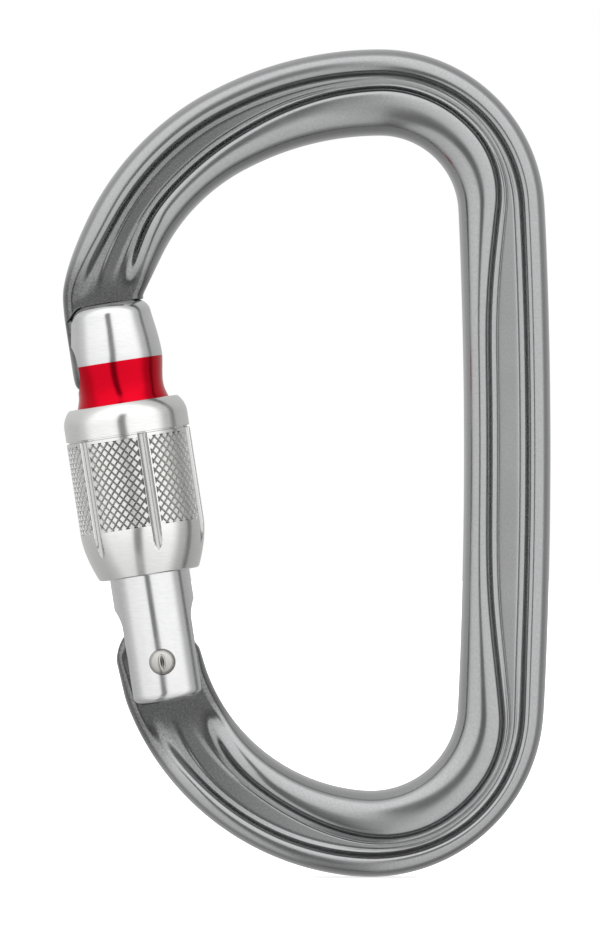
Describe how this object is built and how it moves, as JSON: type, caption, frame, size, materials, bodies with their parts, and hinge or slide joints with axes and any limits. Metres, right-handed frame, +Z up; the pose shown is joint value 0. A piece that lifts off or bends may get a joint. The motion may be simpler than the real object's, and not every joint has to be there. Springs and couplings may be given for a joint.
{
  "type": "locking carabiner",
  "caption": "D-shaped forged connector with a hinged spring gate, a keyhole nose and a fluted screw sleeve that locks the gate shut.",
  "frame": {"origin": "bearing point inside the top bow, on the middle plane of the frame, where the carabiner hangs", "axes": "+Z up along the spine, +X from the gate to the spine, +Y from the face in the picture to the far face"},
  "size_m": [0.0664, 0.0168, 0.1123],
  "materials": {
    "frame_alloy": "satin grey anodised forging with fine grain",
    "gate_alloy": "bright satin turned bar, with a red lacquered band below the nose",
    "sleeve_alloy": "bright satin, diamond knurled between smooth flutes",
    "ring_steel": "plain turned",
    "rivet_steel": "domed and polished",
    "plunger_steel": "plain turned",
    "spring_steel": "drawn wire"
  },
  "bodies": {
    "frame": {"frame": "frame_alloy"},
    "gate": {"gate_barrel": "gate_alloy", "hinge_rivet": "rivet_steel", "gate_spring": "spring_steel"},
    "plunger": {"spring_plunger": "plunger_steel"},
    "ring": {"stop_ring": "ring_steel"},
    "sleeve": {"lock_sleeve": "sleeve_alloy"}
  },
  "joints": [
    {"name": "gate_hinge", "type": "hinge", "parent": "frame", "child": "gate", "pos_m": [-0.02943, 0, -0.07119], "axis": [0, 1, 0], "range_deg": [0, 28], "stiffness_Nm_per_rad": 0.15, "springref_deg": -57.3, "deforming": ["gate_spring"]},
    {"name": "plunger_slide", "type": "slide", "parent": "gate", "child": "plunger", "axis": [-0.1524, 0, 0.9883], "range_m": [0, 0.0011], "deforming": ["gate_spring"]},
    {"name": "sleeve_slide", "type": "slide", "parent": "gate", "child": "ring", "axis": [-0.1524, 0, 0.9883], "range_m": [0, 0.00565]},
    {"name": "sleeve_turn", "type": "hinge", "parent": "ring", "child": "sleeve", "pos_m": [-0.02943, 0, -0.07119], "axis": [-0.1524, 0, 0.9883], "range_deg": [0, 900]}
  ],
  "couplings": [
    {"joint": "plunger_slide", "follows": "gate_hinge", "m_per_rad": 0.0020463},
    {"joint": "sleeve_turn", "follows": "sleeve_slide", "rad_per_m": 2780.1}
  ]
}
